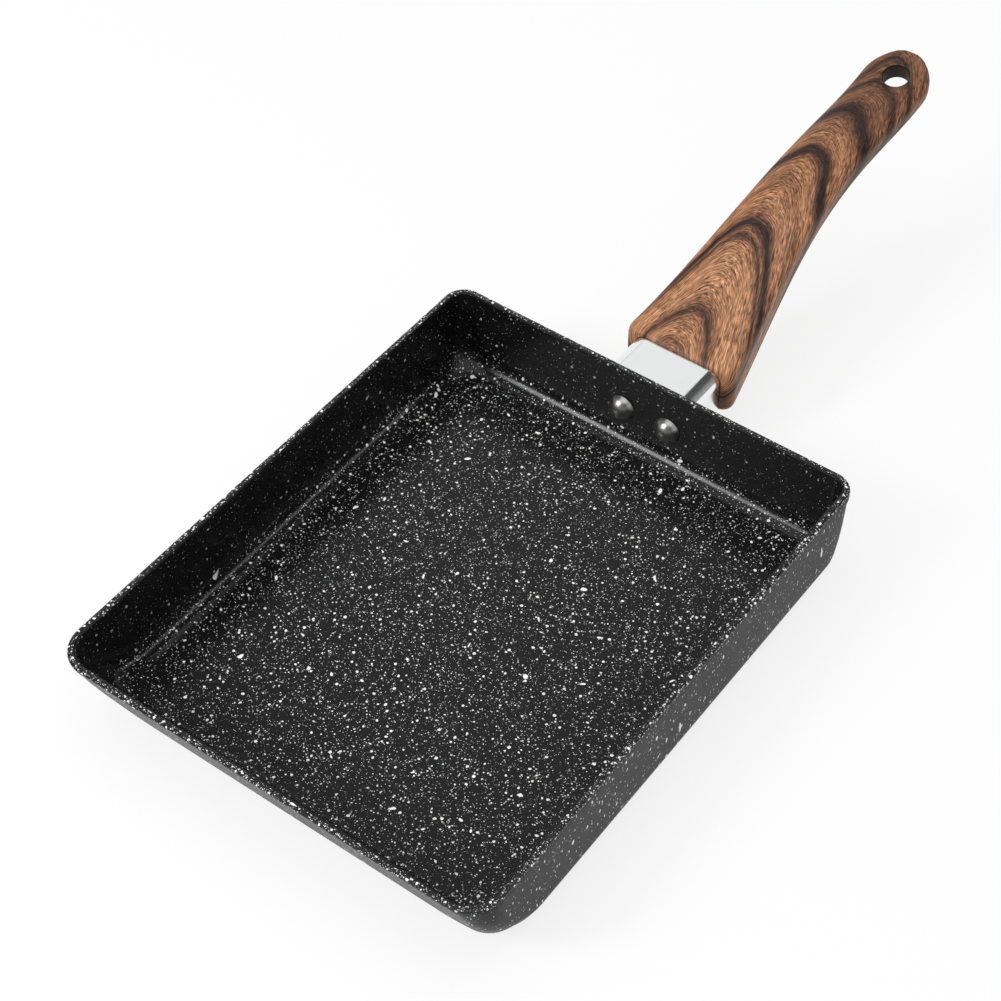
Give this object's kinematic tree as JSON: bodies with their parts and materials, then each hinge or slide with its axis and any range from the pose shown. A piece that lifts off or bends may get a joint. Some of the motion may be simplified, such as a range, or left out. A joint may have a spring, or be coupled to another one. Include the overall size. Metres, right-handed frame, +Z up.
{
  "type": "tamagoyaki pan",
  "caption": "Rectangular omelette pan with black speckled non-stick coating, a polished aluminium neck and a curved wood grain handle.",
  "frame": {"origin": "middle of the resting face under the floor, below the middle of the rim", "axes": "+Z up; +Y along the pan towards the end of the handle; +X across the pan"},
  "size_m": [0.15, 0.3444, 0.0621],
  "materials": {
    "coating": "black non-stick coating with cream speckles",
    "neck": "polished cast aluminium",
    "rivet": "bright aluminium",
    "handle": "brown wood grain film under clear lacquer on phenolic",
    "steel": "zinc plated steel"
  },
  "bodies": {
    "root": {"pan_body": "coating", "handle_bracket": "neck", "rivet_left": "rivet", "rivet_right": "rivet", "handle": "handle", "handle_screw": "steel", "spring_washer": "steel", "plain_washer": "steel"}
  },
  "joints": []
}
